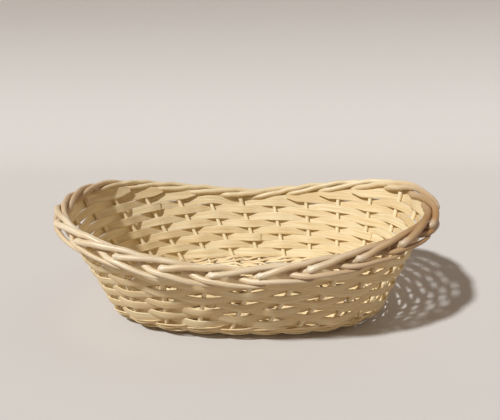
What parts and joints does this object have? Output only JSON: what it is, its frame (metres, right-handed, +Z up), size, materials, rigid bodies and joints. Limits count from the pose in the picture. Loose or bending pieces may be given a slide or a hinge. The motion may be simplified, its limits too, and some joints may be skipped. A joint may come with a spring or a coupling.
{
  "type": "storage basket",
  "caption": "Open oval storage basket of peeled willow: round stakes woven with flat split chips, low along the long sides, raised at both ends, finished with a plaited border.",
  "frame": {"origin": "middle of the underside, at the level of the lowest woven chips of the base", "axes": "+X along the long side, to the right when seen from the front; +Y to the back; +Z up, out of the open mouth"},
  "size_m": [0.3694, 0.2391, 0.1202],
  "materials": {
    "peeled_rod": "peeled round willow rod, satin, cream",
    "wall_chip": "flat split willow chip, matte, split grain along its length",
    "pack_chip": "flat split willow chip, matte, short lengths",
    "upsett_strand": "narrow split willow strand, matte",
    "base_chip": "flat split willow chip, matte"
  },
  "bodies": {
    "root": {"cross_rod_1": "peeled_rod", "cross_rod_2": "peeled_rod", "cross_rod_3": "peeled_rod", "cross_rod_4": "peeled_rod", "cross_rod_5": "peeled_rod", "cross_rod_6": "peeled_rod", "end_stake_1": "peeled_rod", "end_stake_2": "peeled_rod", "end_stake_3": "peeled_rod", "end_stake_4": "peeled_rod", "end_stake_5": "peeled_rod", "end_stake_6": "peeled_rod", "end_stake_7": "peeled_rod", "end_stake_8": "peeled_rod", "end_stake_9": "peeled_rod", "end_stake_10": "peeled_rod", "end_stake_11": "peeled_rod", "end_stake_12": "peeled_rod", "base_core_chip_1": "base_chip", "base_core_chip_2": "base_chip", "base_core_chip_3": "base_chip", "base_core_chip_4": "base_chip", "base_core_chip_5": "base_chip", "base_core_chip_6": "base_chip", "base_round_1": "base_chip", "base_round_2": "base_chip", "base_round_3": "base_chip", "base_round_4": "base_chip", "base_round_5": "base_chip", "upsett_1a": "upsett_strand", "upsett_1b": "upsett_strand", "upsett_2a": "upsett_strand", "upsett_2b": "upsett_strand", "upsett_3a": "upsett_strand", "upsett_3b": "upsett_strand", "wall_row_01": "wall_chip", "wall_row_02": "wall_chip", "wall_row_03": "wall_chip", "wall_row_04": "wall_chip", "wall_row_05": "wall_chip", "wall_row_06": "wall_chip", "wall_row_07": "wall_chip", "wall_row_08": "wall_chip", "pack_row_right_1": "pack_chip", "pack_row_right_2": "pack_chip", "pack_row_right_3": "pack_chip", "pack_row_left_1": "pack_chip", "pack_row_left_2": "pack_chip", "pack_row_left_3": "pack_chip"}
  },
  "joints": []
}
